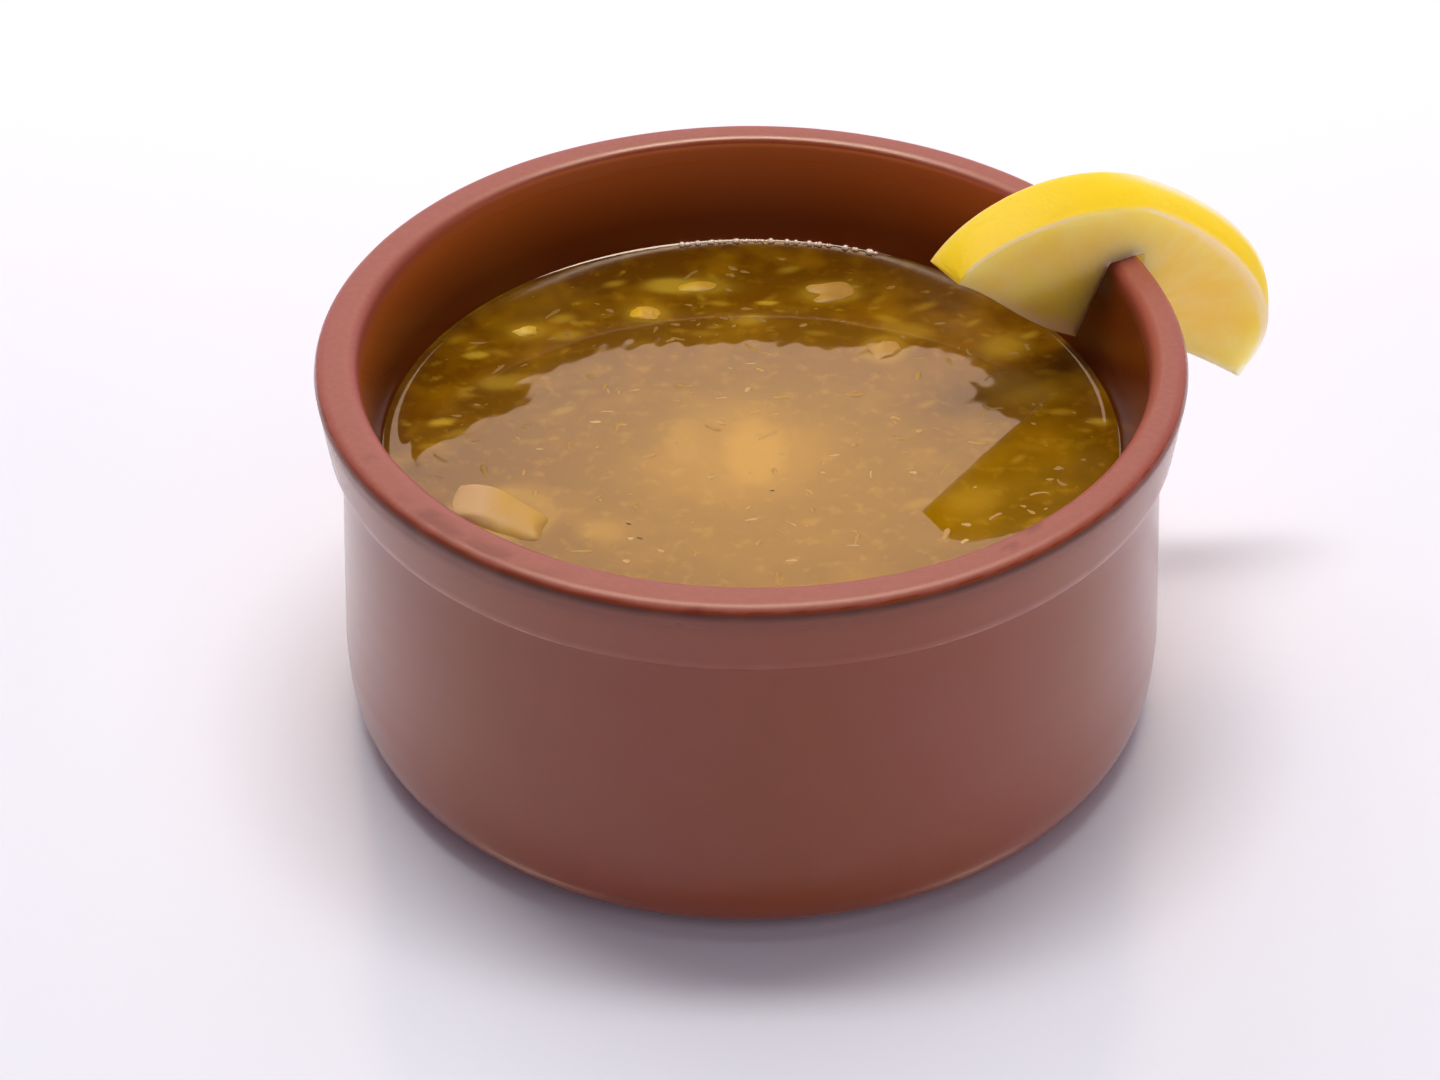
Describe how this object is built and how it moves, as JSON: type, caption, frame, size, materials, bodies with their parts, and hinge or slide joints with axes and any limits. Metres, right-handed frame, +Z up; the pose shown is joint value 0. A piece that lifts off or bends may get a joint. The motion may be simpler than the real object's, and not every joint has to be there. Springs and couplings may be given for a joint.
{
  "type": "bowl of cow foot soup",
  "caption": "Round clay bowl with a collared rim, filled with cloudy golden broth and pieces of cartilage, with a slit half slice of lemon hung over the rim.",
  "frame": {"origin": "centre of the bowl's flat base", "axes": "+Z up out of the bowl; the lemon slice hangs over the rim on the +X side, a little towards +Y"},
  "size_m": [0.1641, 0.144, 0.0852],
  "materials": {
    "clay": "satin",
    "soup": "gloss",
    "meat": "satin",
    "lemon": "satin"
  },
  "bodies": {
    "root": {"bowl": "clay", "broth": "soup", "cartilage_large": "meat", "cartilage_slab": "meat", "cartilage_long": "meat", "cartilage_round": "meat", "cartilage_yellow": "meat", "cartilage_oval": "meat", "lemon_slice": "lemon"}
  },
  "joints": []
}
